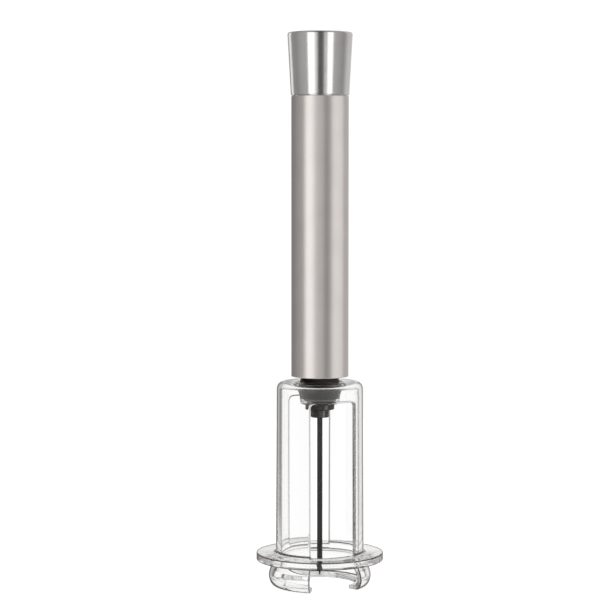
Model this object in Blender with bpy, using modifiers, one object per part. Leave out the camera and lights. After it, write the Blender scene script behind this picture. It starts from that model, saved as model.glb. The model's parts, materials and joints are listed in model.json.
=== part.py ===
"""Hand-pumped air-pressure wine opener, modelled at its real size.

Frame: metres, +Z up along the needle, the origin at the centre of the foot ring's
underside, -Y through the gap of the foot ring.  Four groups move apart: the clear guard
that stands on the table, the needle unit that lifts out of it, the handle that pumps up
and down on the needle unit's rod, and two small valve parts inside.
"""

import math

import bmesh
import bpy
from mathutils import Matrix, Vector

MM = 0.001
MERGE = 0.00001

# Fits
GAP = 0.3 * MM          # between parts that are pressed or clamped together
RUNNING = 0.1 * MM      # radial clearance of the rod in its guide
EDGE = 0.4 * MM         # broken edges

# Handle: tube and cap
TUBE_RADIUS = 12.5 * MM
TUBE_BORE = 11.3 * MM
TUBE_BOTTOM = 92.2 * MM
TUBE_TOP = 214.4 * MM
CAP_HEIGHT = 27.2 * MM
CAP_FOOT_RADIUS = 12.7 * MM
CAP_TOP_RADIUS = 14.15 * MM
CAP_ROUND = 1.1 * MM
CAP_SPIGOT_LENGTH = 8.1 * MM
CAP_HOLLOW_RADIUS = 9.2 * MM
CAP_CROWN = 5.0 * MM            # solid metal above the hollow
CIRCLIP_GROOVE_LOW = 1.1 * MM   # from the tube's lower end
CIRCLIP_GROOVE_HIGH = 2.2 * MM
CIRCLIP_GROOVE_DEPTH = 0.5 * MM

# Pump inside the handle
BARREL_BORE = 9.0 * MM
BARREL_RADIUS = 11.0 * MM
FLANGE_RADIUS = 10.9 * MM
GUIDE_BOTTOM = 94.6 * MM
GUIDE_FLANGE = 1.6 * MM
GUIDE_LENGTH = 9.4 * MM
HEAD_FLANGE = 2.0 * MM
HEAD_PLUG = 3.7 * MM
PLUG_RADIUS = 8.7 * MM
HEAD_GROOVE_LOW = 0.9 * MM      # from the plug's lower end
HEAD_GROOVE_HIGH = 2.7 * MM
HEAD_GROOVE_RADIUS = 7.1 * MM
HEAD_SEAL_CORD = 0.8 * MM
GASKET_RADIUS = 10.8 * MM
GASKET_BORE = 6.5 * MM
GASKET_THICKNESS = 1.0 * MM
HEAD_BUMPER_RADIUS = 6.5 * MM
HEAD_BUMPER_BORE = 2.2 * MM
BUMPER_RADIUS = 6.4 * MM
BUMPER_THICKNESS = 1.3 * MM
GUIDE_HOLE_RADIUS = 0.8 * MM
GUIDE_HOLE_CIRCLE = 7.4 * MM
CIRCLIP_RADIUS = 11.6 * MM
CIRCLIP_INNER_RADIUS = 9.9 * MM
CIRCLIP_BOTTOM = 1.25 * MM      # from the tube's lower end
CIRCLIP_THICKNESS = 0.8 * MM
CIRCLIP_OPENING = math.radians(15)
LUG_RADIUS = 9.2 * MM
LUG_ANGLE = math.radians(11)
EYE_RADIUS = 0.5 * MM
EYE_CIRCLE = 10.2 * MM

# Rod and piston, fixed to the needle unit
ROD_RADIUS = 4.0 * MM
AIR_BORE = 1.6 * MM
ROD_SOCKET_DEPTH = 2.1 * MM
PISTON_LENGTH = 9.0 * MM
PISTON_TOP = 197.5 * MM
NOTCH_RADIUS = 1.3 * MM         # air passages from the seal groove up past the piston
NOTCH_DEPTH = 0.6 * MM
SEAL_GROOVE_RADIUS = 6.35 * MM
SEAL_GROOVE_BOTTOM = 192.1 * MM
SEAL_GROOVE_HEIGHT = 3.2 * MM
SEAL_CORD = 1.1 * MM
SEAL_REST_GAP = 0.1 * MM

# Needle hub
HUB_TOP = 93.6 * MM
HUB_TOP_RADIUS = 7.6 * MM
HUB_COLLAR_TOP = 92.3 * MM      # the collar widens downward from here
HUB_COLLAR_RADIUS = 8.75 * MM
HUB_COLLAR_BOTTOM = 90.3 * MM
HUB_CONE_TOP = 90.2 * MM
HUB_CONE_RADIUS = 8.5 * MM
HUB_CONE_BOTTOM = 82.0 * MM
HUB_CONE_FOOT_RADIUS = 7.1 * MM
HUB_NECK_TOP = 80.9 * MM
HUB_NECK_RADIUS = 6.35 * MM
HUB_BOTTOM = 77.7 * MM
HUB_SHOULDER = 86.0 * MM
VALVE_CHAMBER_RADIUS = 3.3 * MM
WASHER_RADIUS = 3.9 * MM
WASHER_BORE = 1.7 * MM
WASHER_THICKNESS = 0.8 * MM

# Check valve and needle
SEAT_TOP = 85.7 * MM
SEAT_BOTTOM = 84.0 * MM
SEAT_RADIUS = 3.0 * MM
SEAT_HOLE = 1.0 * MM
SEAT_CONE = 1.0 * MM
BALL_RADIUS = 1.6 * MM
BALL_CENTRE = 83.6 * MM
SPRING_RADIUS = 1.5 * MM
SPRING_WIRE = 0.2 * MM
SPRING_BOTTOM = 79.7 * MM
SPRING_TOP = 82.4 * MM
SPRING_TURNS = 4
COLLAR_BOTTOM = 74.2 * MM
COLLAR_SHOULDER = 77.4 * MM
COLLAR_TOP = 79.1 * MM
COLLAR_RADIUS = 4.05 * MM
COLLAR_FLATS = 7.2 * MM
COLLAR_RIM = 0.8 * MM           # full round left above the flats
COLLAR_CUT = (6.0 * MM, 5.0 * MM)
SCREW_FIT = 0.25 * MM           # collar over the needle and its ferrule
PRESS_FIT = 0.05 * MM           # ferrule on the needle
FERRULE_RADIUS = 2.1 * MM
FERRULE_BOTTOM = 77.2 * MM
NEEDLE_RADIUS = 1.2 * MM
NEEDLE_BORE = 0.6 * MM
NEEDLE_TIP = 4.4 * MM
NEEDLE_POINT = 3.6 * MM
NEEDLE_TOP = 79.0 * MM
NEEDLE_PORT = 0.42 * MM
NEEDLE_PORT_RISE = 1.2 * MM     # from the end of the point up to the port
NEEDLE_BORE_CONE = (1.0 * MM, 0.6 * MM)     # the drilled end of the bore, below the port
PORT_REACH = 3.0 * MM

# Clear guard
GUARD_TOP = 90.0 * MM
GUARD_TOP_RADIUS = 18.9 * MM
GUARD_FOOT_RADIUS = 19.3 * MM
GUARD_WALL = 1.9 * MM
GUARD_PLATE = 1.8 * MM
GUARD_ROUND = 4.0 * MM
SINK_RADIUS = 9.9 * MM
SINK_DEPTH = 0.6 * MM
CUP_BOTTOM = 80.05 * MM
CUP_ROOT_RADIUS = 9.75 * MM
CUP_ROOT_BEVEL = (1.0 * MM, 1.2 * MM)
CUP_FOOT_RADIUS = 8.3 * MM
CUP_FOOT_BEVEL = 0.9 * MM
FOOT_FLANGE_RADIUS = 27.9 * MM
FOOT_FLANGE_BOTTOM = 11.4 * MM
FOOT_FLANGE_TOP = 14.7 * MM
WINDOW_WIDTH = 20.2 * MM
WINDOW_TOP = 81.95 * MM
WINDOW_CORNER = 2.2 * MM
WINDOW_SILL = 0.3 * MM          # from the foot flange's top up to the window
WINDOW_CUT = (13.0 * MM, 24.0 * MM)
RING_RADIUS = 22.5 * MM
RING_TOP_RADIUS = 19.7 * MM
RING_WIDEST = 4.6 * MM
RING_FOOT_RADIUS = 19.6 * MM
RING_WALL = 2.0 * MM
LIP_RADIUS = 15.7 * MM
LIP_HEIGHT = 1.8 * MM
RING_GAP_HALF_ANGLE = math.radians(32.5)
RING_GAP_REACH = 40.0 * MM      # the cutter's length, well past the ring
RING_GAP_ENDS = (-2.0 * MM, 11.2 * MM)

FINE = 48       # segments round the visible pieces
COARSE = 24     # segments round the inner pieces
SHARP_ANGLE = math.radians(32)

COLOURS = {
    # name: (colour, roughness, metallic)
    "turned_aluminium": ((0.80, 0.79, 0.78), 0.18, 1.0),
    "satin_aluminium": ((0.62, 0.60, 0.58), 0.35, 1.0),
    "black_plastic": ((0.035, 0.033, 0.031), 0.38, 0.0),
    "pump_plastic": ((0.82, 0.81, 0.77), 0.35, 0.0),
    "rubber": ((0.02, 0.02, 0.02), 0.7, 0.0),
    "steel": ((0.62, 0.62, 0.63), 0.25, 1.0),
    "brass": ((0.72, 0.53, 0.24), 0.3, 1.0),
    "coated_steel": ((0.045, 0.043, 0.042), 0.3, 0.0),
    "clear_plastic": ((0.93, 0.93, 0.94), 0.05, 0.0),
}


def clear_scene():
    for obj in list(bpy.data.objects):
        bpy.data.objects.remove(obj)


def new_collection(name):
    collection = bpy.data.collections.new(name)
    bpy.context.scene.collection.children.link(collection)
    return collection


clear_scene()
PARTS = new_collection("air_pump_wine_opener")
CUTTERS = new_collection("cutters")


def material(name):
    """The Principled material of that name, made once."""
    found = bpy.data.materials.get(name)
    if found:
        return found
    colour, roughness, metallic = COLOURS[name]
    made = bpy.data.materials.new(name)
    made.use_nodes = True
    shader = made.node_tree.nodes["Principled BSDF"]
    shader.inputs["Base Color"].default_value = (*colour, 1.0)
    shader.inputs["Roughness"].default_value = roughness
    shader.inputs["Metallic"].default_value = metallic
    if name == "clear_plastic":
        shader.inputs["Transmission Weight"].default_value = 1.0
        shader.inputs["IOR"].default_value = 1.55
    return made


def group(name, parent=None):
    """An empty that a moving group's parts hang on, at the origin because it slides along Z."""
    empty = bpy.data.objects.new(name, None)
    PARTS.objects.link(empty)
    empty.parent = parent
    return empty


def add_part(name, data, finish, parent):
    obj = bpy.data.objects.new(name, data)
    PARTS.objects.link(obj)
    obj.parent = parent
    data.materials.append(material(finish))
    return obj


def add_cutter(obj):
    """Moves a helper into the cutters' collection, out of the render."""
    for collection in list(obj.users_collection):
        collection.objects.unlink(obj)
    CUTTERS.objects.link(obj)
    obj.hide_render = True
    obj.display_type = "WIRE"
    return obj


def outline_mesh(name, profile, closed=True):
    """A mesh of edges only, in the XZ plane, from (radius, height) points."""
    mesh = bpy.data.meshes.new(name)
    vertices = [(radius, 0.0, height) for radius, height in profile]
    edges = [(i, i + 1) for i in range(len(profile) - 1)]
    if closed:
        edges.append((len(profile) - 1, 0))
    mesh.from_pydata(vertices, edges, [])
    return mesh


def spin(obj, steps):
    """Turns an outline about Z into a closed body of revolution."""
    screw = obj.modifiers.new("Turn", "SCREW")
    screw.axis = "Z"
    screw.angle = math.tau
    screw.steps = steps
    screw.render_steps = steps
    screw.use_merge_vertices = True
    screw.merge_threshold = MERGE
    screw.use_smooth_shade = False
    return obj


def turned(name, profile, finish, parent, steps=COARSE, closed=True):
    """A turned part. The profile runs down the outside, then up the bore."""
    obj = add_part(name, outline_mesh(name, profile, closed), finish, parent)
    return spin(obj, steps)


def washer(name, outer, bore, bottom, thickness, finish, parent, steps=COARSE):
    top = bottom + thickness
    profile = [(outer, top), (outer, bottom), (bore, bottom), (bore, top)]
    return turned(name, profile, finish, parent, steps)


def o_ring(name, ring_radius, cord_radius, height, parent, steps=COARSE, sides=8):
    """A rubber ring of round section."""
    profile = [
        (
            ring_radius + cord_radius * math.cos(-math.tau * i / sides),
            height + cord_radius * math.sin(-math.tau * i / sides),
        )
        for i in range(sides)
    ]
    return turned(name, profile, "rubber", parent, steps)


def arc(centre, radii, start_deg, end_deg, count):
    """Points of an elliptical arc in the (radius, height) plane, both ends included."""
    points = []
    for i in range(count):
        angle = math.radians(start_deg + (end_deg - start_deg) * i / (count - 1))
        points.append(
            (centre[0] + radii[0] * math.cos(angle), centre[1] + radii[1] * math.sin(angle))
        )
    return points


def prism(name, outline, bottom, top):
    """A cutter: a flat outline in the XY plane, extruded from bottom to top."""
    mesh = bpy.data.meshes.new(name)
    shape = bmesh.new()
    face = shape.faces.new([shape.verts.new((x, y, bottom)) for x, y in outline])
    grown = bmesh.ops.extrude_face_region(shape, geom=[face])
    moved = [v for v in grown["geom"] if isinstance(v, bmesh.types.BMVert)]
    bmesh.ops.translate(shape, vec=(0.0, 0.0, top - bottom), verts=moved)
    bmesh.ops.recalc_face_normals(shape, faces=shape.faces)
    shape.to_mesh(mesh)
    shape.free()
    return add_cutter(bpy.data.objects.new(name, mesh))


def rod_cutter(name, radius, start, end, sides=12):
    """A cutter: a round rod between two points."""
    start, end = Vector(start), Vector(end)
    mesh = bpy.data.meshes.new(name)
    shape = bmesh.new()
    bmesh.ops.create_cone(
        shape,
        cap_ends=True,
        segments=sides,
        radius1=radius,
        radius2=radius,
        depth=(end - start).length,
    )
    shape.to_mesh(mesh)
    shape.free()
    cutter = bpy.data.objects.new(name, mesh)
    turn = (end - start).to_track_quat("Z", "Y").to_matrix().to_4x4()
    cutter.matrix_world = Matrix.Translation((start + end) / 2) @ turn
    return add_cutter(cutter)


def cut(obj, *cutters):
    for cutter in cutters:
        boolean = obj.modifiers.new("Cut " + cutter.name, "BOOLEAN")
        boolean.operation = "DIFFERENCE"
        boolean.solver = "EXACT"
        boolean.object = cutter
    return obj


# ---- clear guard -------------------------------------------------------------------------


def ring_outside():
    """The foot ring's outer face, from the flange down to the table."""
    rise = FOOT_FLANGE_BOTTOM - RING_WIDEST
    flare = RING_RADIUS - RING_TOP_RADIUS
    upper = [
        (RING_RADIUS - flare * share**1.7, RING_WIDEST + rise * share)
        for share in (1.0, 0.66, 0.33)
    ]
    bend = (RING_RADIUS - RING_FOOT_RADIUS, RING_WIDEST)
    return upper + arc((RING_FOOT_RADIUS, RING_WIDEST), bend, 0, -90, 5)


def ring_inside():
    """The foot ring's lip and the hollow above it, from the table up to the guard's bore."""
    bore = GUARD_FOOT_RADIUS - GUARD_WALL
    hollow = RING_RADIUS - RING_WALL
    return [
        (LIP_RADIUS + EDGE, 0.0),
        (LIP_RADIUS, EDGE),
        (LIP_RADIUS, LIP_HEIGHT - EDGE),
        (LIP_RADIUS + EDGE, LIP_HEIGHT),
        (hollow - 2.0 * MM, LIP_HEIGHT + 0.2 * MM),
        (hollow - 0.5 * MM, LIP_HEIGHT + 1.0 * MM),
        (hollow, RING_WIDEST),
        (hollow - 0.8 * MM, RING_WIDEST + 2.4 * MM),
        (bore, FOOT_FLANGE_BOTTOM - 0.6 * MM),
    ]


def cup_inside():
    """The seat of the needle hub, from its floor's hole up to the countersink."""
    slope = (HUB_CONE_RADIUS - HUB_CONE_FOOT_RADIUS) / (HUB_CONE_TOP - HUB_CONE_BOTTOM)
    sink_bottom = GUARD_TOP - SINK_DEPTH
    mouth = HUB_CONE_FOOT_RADIUS + slope * (sink_bottom - HUB_CONE_BOTTOM) + GAP
    return [
        (HUB_NECK_RADIUS + GAP, CUP_BOTTOM),
        (HUB_NECK_RADIUS + GAP, HUB_NECK_TOP - GAP / 2),
        (HUB_CONE_FOOT_RADIUS + GAP, HUB_CONE_BOTTOM - GAP / 2),
        (mouth, sink_bottom),
        (SINK_RADIUS, GUARD_TOP),
    ]


def guard_profile():
    bore_top = GUARD_TOP_RADIUS - GUARD_WALL
    bore_bottom = GUARD_FOOT_RADIUS - GUARD_WALL
    underside = GUARD_TOP - GUARD_PLATE
    inner_round = GUARD_ROUND - GUARD_WALL
    shoulder = arc(
        (GUARD_TOP_RADIUS - GUARD_ROUND, GUARD_TOP - GUARD_ROUND),
        (GUARD_ROUND, GUARD_ROUND),
        90,
        0,
        5,
    )
    flange_edge = [
        (GUARD_FOOT_RADIUS, FOOT_FLANGE_TOP),
        (FOOT_FLANGE_RADIUS - EDGE, FOOT_FLANGE_TOP),
        (FOOT_FLANGE_RADIUS, FOOT_FLANGE_TOP - EDGE),
        (FOOT_FLANGE_RADIUS, FOOT_FLANGE_BOTTOM + EDGE),
        (FOOT_FLANGE_RADIUS - EDGE, FOOT_FLANGE_BOTTOM),
    ]
    inner_shoulder = arc(
        (bore_top - inner_round, underside - inner_round),
        (inner_round, inner_round),
        0,
        90,
        3,
    )
    cup_outside = [
        (CUP_ROOT_RADIUS + CUP_ROOT_BEVEL[0], underside),
        (CUP_ROOT_RADIUS, underside - CUP_ROOT_BEVEL[1]),
        (CUP_FOOT_RADIUS, CUP_BOTTOM + CUP_FOOT_BEVEL),
        (CUP_FOOT_RADIUS - CUP_FOOT_BEVEL, CUP_BOTTOM),
    ]
    return (
        shoulder
        + flange_edge
        + ring_outside()
        + ring_inside()
        + [(bore_bottom, FOOT_FLANGE_TOP)]
        + inner_shoulder
        + cup_outside
        + cup_inside()
    )


def window_cutter(name, side):
    """A round-cornered slot through one wall; side is -1 for the front and 1 for the back."""
    half = WINDOW_WIDTH / 2
    corner_x = half - WINDOW_CORNER
    corner_z = WINDOW_TOP - WINDOW_CORNER
    round_corner = (WINDOW_CORNER, WINDOW_CORNER)
    top = arc((corner_x, corner_z), round_corner, 0, 90, 4)
    outline = [(-x, z) for x, z in reversed(top)]
    sill = FOOT_FLANGE_TOP + WINDOW_SILL
    outline += [(-half, sill), (half, sill)]
    outline += top
    cutter = prism(name, outline, *WINDOW_CUT)
    # The prism stands on the XY plane: lay it so that its outline's second axis is Z.
    upright = Matrix.Rotation(math.pi / 2, 4, "X")
    if side > 0:
        upright = Matrix.Rotation(math.pi, 4, "Z") @ upright
    cutter.matrix_world = upright
    return cutter


def make_guard(parent):
    guard = turned("bottle_guard", guard_profile(), "clear_plastic", parent, FINE)
    side = RING_GAP_REACH * math.sin(RING_GAP_HALF_ANGLE)
    front = -RING_GAP_REACH * math.cos(RING_GAP_HALF_ANGLE)
    wedge = [(0.0, 0.0), (-side, front), (side, front)]
    gap = prism("ring_gap_cutter", wedge, *RING_GAP_ENDS)
    return cut(
        guard,
        window_cutter("front_window_cutter", -1),
        window_cutter("back_window_cutter", 1),
        gap,
    )


# ---- needle unit -------------------------------------------------------------------------


def make_hub(parent):
    """The black cone that seats in the guard's cup and carries the rod, valve and needle."""
    socket = ROD_RADIUS + RUNNING
    profile = [
        (HUB_TOP_RADIUS - EDGE, HUB_TOP),
        (HUB_TOP_RADIUS, HUB_TOP - EDGE),
        (HUB_TOP_RADIUS, HUB_COLLAR_TOP),
        (HUB_COLLAR_RADIUS, HUB_COLLAR_BOTTOM),
        (HUB_CONE_RADIUS, HUB_CONE_TOP),
        (HUB_CONE_FOOT_RADIUS, HUB_CONE_BOTTOM),
        (HUB_NECK_RADIUS, HUB_NECK_TOP),
        (HUB_NECK_RADIUS, HUB_BOTTOM + EDGE),
        (HUB_NECK_RADIUS - EDGE, HUB_BOTTOM),
        (VALVE_CHAMBER_RADIUS, HUB_BOTTOM),
        (VALVE_CHAMBER_RADIUS, HUB_SHOULDER),
        (socket, HUB_SHOULDER),
        (socket, HUB_TOP),
    ]
    return turned("needle_hub", profile, "black_plastic", parent, FINE)


def make_rod(parent):
    bottom = HUB_SHOULDER + WASHER_THICKNESS + 2 * GAP
    top = PISTON_TOP - ROD_SOCKET_DEPTH - GAP
    length = top - bottom
    return washer("piston_rod", ROD_RADIUS, AIR_BORE, bottom, length, "steel", parent)


def make_piston(parent):
    """The piston, with the deep groove that its sealing ring floats in, notched above it."""
    bottom = PISTON_TOP - PISTON_LENGTH
    groove_top = SEAL_GROOVE_BOTTOM + SEAL_GROOVE_HEIGHT
    bore = ROD_RADIUS + RUNNING
    profile = [
        (PLUG_RADIUS - EDGE, PISTON_TOP),
        (PLUG_RADIUS, PISTON_TOP - EDGE),
        (PLUG_RADIUS, groove_top),
        (SEAL_GROOVE_RADIUS, groove_top),
        (SEAL_GROOVE_RADIUS, SEAL_GROOVE_BOTTOM),
        (PLUG_RADIUS, SEAL_GROOVE_BOTTOM),
        (PLUG_RADIUS, bottom + EDGE),
        (PLUG_RADIUS - EDGE, bottom),
        (bore, bottom),
        (bore, PISTON_TOP - ROD_SOCKET_DEPTH),
        (AIR_BORE, PISTON_TOP - ROD_SOCKET_DEPTH),
        (AIR_BORE, PISTON_TOP),
    ]
    piston = turned("piston", profile, "black_plastic", parent)
    notches = []
    for i in range(4):
        angle = math.tau * (i + 0.5) / 4
        x, y = PLUG_RADIUS * math.cos(angle), PLUG_RADIUS * math.sin(angle)
        low = SEAL_GROOVE_BOTTOM + SEAL_GROOVE_HEIGHT - NOTCH_DEPTH
        high = PISTON_TOP + 1.0 * MM
        notches.append(rod_cutter(f"piston_notch_{i}", NOTCH_RADIUS, (x, y, low), (x, y, high)))
    return cut(piston, *notches)


def make_seat(parent):
    """The brass valve seat, with a 45 degree cone on its underside."""
    mouth = SEAT_HOLE + SEAT_CONE
    profile = [
        (SEAT_RADIUS, SEAT_TOP),
        (SEAT_RADIUS, SEAT_BOTTOM),
        (mouth, SEAT_BOTTOM),
        (SEAT_HOLE, SEAT_BOTTOM + SEAT_CONE),
        (SEAT_HOLE, SEAT_TOP),
    ]
    return turned("valve_seat", profile, "brass", parent, 24)


def make_ball(parent):
    mesh = bpy.data.meshes.new("valve_ball")
    shape = bmesh.new()
    bmesh.ops.create_uvsphere(shape, u_segments=16, v_segments=10, radius=BALL_RADIUS)
    shape.to_mesh(mesh)
    shape.free()
    ball = add_part("valve_ball", mesh, "steel", parent)
    ball.location.z = BALL_CENTRE
    return ball


def make_spring(parent):
    """The check valve's coil spring."""
    per_turn = 10
    count = SPRING_TURNS * per_turn + 1
    curve = bpy.data.curves.new("valve_spring", "CURVE")
    curve.dimensions = "3D"
    curve.bevel_depth = SPRING_WIRE
    curve.bevel_resolution = 2
    curve.use_fill_caps = True
    spline = curve.splines.new("POLY")
    spline.points.add(count - 1)
    for i, point in enumerate(spline.points):
        angle = math.tau * i / per_turn
        height = SPRING_BOTTOM + (SPRING_TOP - SPRING_BOTTOM) * i / (count - 1)
        x, y = SPRING_RADIUS * math.cos(angle), SPRING_RADIUS * math.sin(angle)
        point.co = (x, y, height, 1.0)
    return add_part("valve_spring", curve, "steel", parent)


def make_collar(parent):
    """The screwed collar under the hub that clamps the needle's ferrule, with two flats."""
    bore = NEEDLE_RADIUS + SCREW_FIT
    pocket = FERRULE_RADIUS + SCREW_FIT
    profile = [
        (SEAT_RADIUS, COLLAR_TOP),
        (SEAT_RADIUS, COLLAR_SHOULDER),
        (COLLAR_RADIUS, COLLAR_SHOULDER),
        (COLLAR_RADIUS, COLLAR_BOTTOM + EDGE),
        (COLLAR_RADIUS - EDGE, COLLAR_BOTTOM),
        (bore, COLLAR_BOTTOM),
        (bore, FERRULE_BOTTOM - 0.2 * MM),
        (pocket, FERRULE_BOTTOM - 0.2 * MM),
        (pocket, COLLAR_TOP),
    ]
    collar = turned("needle_collar", profile, "black_plastic", parent)
    flats = []
    for side in (-1, 1):
        inner, outer = side * COLLAR_FLATS / 2, side * COLLAR_CUT[0]
        half = COLLAR_CUT[1]
        outline = [(inner, -half), (outer, -half), (outer, half), (inner, half)]
        low, high = COLLAR_BOTTOM - 1.0 * MM, COLLAR_SHOULDER - COLLAR_RIM
        flats.append(prism(f"collar_flat_{side}", outline, low, high))
    return cut(collar, *flats)


def make_ferrule(parent):
    bore = NEEDLE_RADIUS + PRESS_FIT
    length = NEEDLE_TOP - FERRULE_BOTTOM - 0.1 * MM
    name = "needle_ferrule"
    return washer(name, FERRULE_RADIUS, bore, FERRULE_BOTTOM, length, "brass", parent, 24)


def make_needle(parent):
    """The hollow needle: a closed cone point and a cross port just above it."""
    port = NEEDLE_TIP + NEEDLE_POINT + NEEDLE_PORT_RISE
    profile = [
        (NEEDLE_RADIUS, NEEDLE_TOP),
        (NEEDLE_RADIUS, NEEDLE_TIP + NEEDLE_POINT),
        (0.0, NEEDLE_TIP),
        (0.0, port - NEEDLE_BORE_CONE[0]),
        (NEEDLE_BORE, port - NEEDLE_BORE_CONE[1]),
        (NEEDLE_BORE, NEEDLE_TOP),
    ]
    needle = turned("needle", profile, "coated_steel", parent, 16)
    ends = (-PORT_REACH, 0, port), (PORT_REACH, 0, port)
    cross = rod_cutter("needle_port_cutter", NEEDLE_PORT, *ends, 10)
    return cut(needle, cross)


# ---- handle ------------------------------------------------------------------------------


def make_tube(parent):
    """The outer tube, with a groove inside its lower end for the circlip."""
    groove_bottom = TUBE_BOTTOM + CIRCLIP_GROOVE_LOW
    groove_top = TUBE_BOTTOM + CIRCLIP_GROOVE_HIGH
    groove = TUBE_BORE + CIRCLIP_GROOVE_DEPTH
    profile = [
        (TUBE_RADIUS - EDGE / 2, TUBE_TOP),
        (TUBE_RADIUS, TUBE_TOP - EDGE / 2),
        (TUBE_RADIUS, TUBE_BOTTOM + EDGE / 2),
        (TUBE_RADIUS - EDGE / 2, TUBE_BOTTOM),
        (TUBE_BORE, TUBE_BOTTOM),
        (TUBE_BORE, groove_bottom),
        (groove, groove_bottom),
        (groove, groove_top),
        (TUBE_BORE, groove_top),
        (TUBE_BORE, TUBE_TOP),
    ]
    return turned("handle_tube", profile, "satin_aluminium", parent, FINE)


def make_cap(parent):
    """The flared end cap, bored hollow, with a spigot that screws into the tube."""
    bottom = TUBE_TOP + GAP
    top = bottom + CAP_HEIGHT
    spigot = TUBE_BORE - GAP
    spigot_bottom = bottom - CAP_SPIGOT_LENGTH
    rounding = arc(
        (CAP_TOP_RADIUS - CAP_ROUND, top - CAP_ROUND), (CAP_ROUND, CAP_ROUND), 90, 0, 5
    )
    profile = (
        [(0.0, top)]
        + rounding
        + [
            (CAP_FOOT_RADIUS, bottom),
            (spigot, bottom),
            (spigot, spigot_bottom),
            (CAP_HOLLOW_RADIUS, spigot_bottom),
            (CAP_HOLLOW_RADIUS, top - CAP_CROWN),
            (0.0, top - CAP_CROWN),
        ]
    )
    return turned("grip_cap", profile, "turned_aluminium", parent, FINE, closed=False)


def make_barrel(parent):
    bottom = GUIDE_BOTTOM + GUIDE_FLANGE + 0.2 * MM
    length = barrel_top() - bottom
    name = "pump_barrel"
    return washer(name, BARREL_RADIUS, BARREL_BORE, bottom, length, "pump_plastic", parent)


def barrel_top():
    """The barrel ends where the head's flange sits on it, under the gasket and the cap."""
    spigot_bottom = TUBE_TOP + GAP - CAP_SPIGOT_LENGTH
    return spigot_bottom - GASKET_THICKNESS - HEAD_FLANGE - 3 * GAP


def make_head(parent):
    """The plug that closes the barrel's top, with a groove for its sealing ring."""
    flange_bottom = barrel_top() + GAP
    flange_top = flange_bottom + HEAD_FLANGE
    plug_bottom = flange_bottom - HEAD_PLUG
    groove_bottom = plug_bottom + HEAD_GROOVE_LOW
    groove_top = plug_bottom + HEAD_GROOVE_HIGH
    groove = HEAD_GROOVE_RADIUS
    profile = [
        (0.0, flange_top),
        (FLANGE_RADIUS, flange_top),
        (FLANGE_RADIUS, flange_bottom),
        (PLUG_RADIUS, flange_bottom),
        (PLUG_RADIUS, groove_top),
        (groove, groove_top),
        (groove, groove_bottom),
        (PLUG_RADIUS, groove_bottom),
        (PLUG_RADIUS, plug_bottom),
        (0.0, plug_bottom),
    ]
    turned("barrel_head", profile, "pump_plastic", parent, closed=False)
    cord = HEAD_SEAL_CORD
    ring_radius = BARREL_BORE - cord - RUNNING
    o_ring("head_o_ring", ring_radius, cord, (groove_bottom + groove_top) / 2, parent, sides=6)
    bottom = flange_top + GAP
    washer("cap_gasket", GASKET_RADIUS, GASKET_BORE, bottom, GASKET_THICKNESS, "rubber", parent)
    bottom = PISTON_TOP + GAP
    length = plug_bottom - GAP - bottom
    radius, bore = HEAD_BUMPER_RADIUS, HEAD_BUMPER_BORE
    washer("head_bumper", radius, bore, bottom, length, "rubber", parent)


def make_guide(parent):
    """The rod guide in the barrel's mouth, with four air holes, and the bumper on top of it."""
    flange_top = GUIDE_BOTTOM + GUIDE_FLANGE
    top = GUIDE_BOTTOM + GUIDE_LENGTH
    bore = ROD_RADIUS + RUNNING
    profile = [
        (PLUG_RADIUS, top),
        (PLUG_RADIUS, flange_top),
        (FLANGE_RADIUS, flange_top),
        (FLANGE_RADIUS, GUIDE_BOTTOM),
        (bore, GUIDE_BOTTOM),
        (bore, top),
    ]
    guide = turned("rod_guide", profile, "black_plastic", parent)
    holes = []
    for i in range(4):
        angle = math.tau * (i + 0.5) / 4
        x, y = GUIDE_HOLE_CIRCLE * math.cos(angle), GUIDE_HOLE_CIRCLE * math.sin(angle)
        ends = (x, y, GUIDE_BOTTOM - 1.0 * MM), (x, y, top + 1.0 * MM)
        holes.append(rod_cutter(f"guide_hole_{i}", GUIDE_HOLE_RADIUS, *ends, 8))
    cut(guide, *holes)
    bottom, bore = top + GAP, ROD_RADIUS + GAP
    washer("stroke_bumper", BUMPER_RADIUS, bore, bottom, BUMPER_THICKNESS, "rubber", parent)


def make_circlip(parent):
    """The spring ring in the tube's groove, open at the front, with two eyed ends."""
    outer, inner = CIRCLIP_RADIUS, CIRCLIP_INNER_RADIUS
    count = 29
    sweep = math.tau - 2 * CIRCLIP_OPENING
    start = -math.pi / 2 + CIRCLIP_OPENING
    angles = [start + sweep * i / (count - 1) for i in range(count)]
    curve = bpy.data.curves.new("circlip", "CURVE")
    curve.dimensions = "2D"
    curve.fill_mode = "BOTH"
    curve.extrude = CIRCLIP_THICKNESS / 2
    points = [(outer * math.cos(a), outer * math.sin(a)) for a in angles]
    for angle in (angles[-1], angles[-1] - LUG_ANGLE):
        points.append((LUG_RADIUS * math.cos(angle), LUG_RADIUS * math.sin(angle)))
    points += [(inner * math.cos(a), inner * math.sin(a)) for a in reversed(angles[2:-2])]
    for angle in (angles[0] + LUG_ANGLE, angles[0]):
        points.append((LUG_RADIUS * math.cos(angle), LUG_RADIUS * math.sin(angle)))
    add_outline(curve, points)
    for angle in (angles[0] + LUG_ANGLE / 2, angles[-1] - LUG_ANGLE / 2):
        x, y = EYE_CIRCLE * math.cos(angle), EYE_CIRCLE * math.sin(angle)
        turns = [math.tau * i / 8 for i in range(8)]
        eye = [(x + EYE_RADIUS * math.cos(t), y + EYE_RADIUS * math.sin(t)) for t in turns]
        add_outline(curve, eye)
    clip = add_part("circlip", curve, "steel", parent)
    clip.location.z = TUBE_BOTTOM + CIRCLIP_BOTTOM + CIRCLIP_THICKNESS / 2
    return clip


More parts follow.
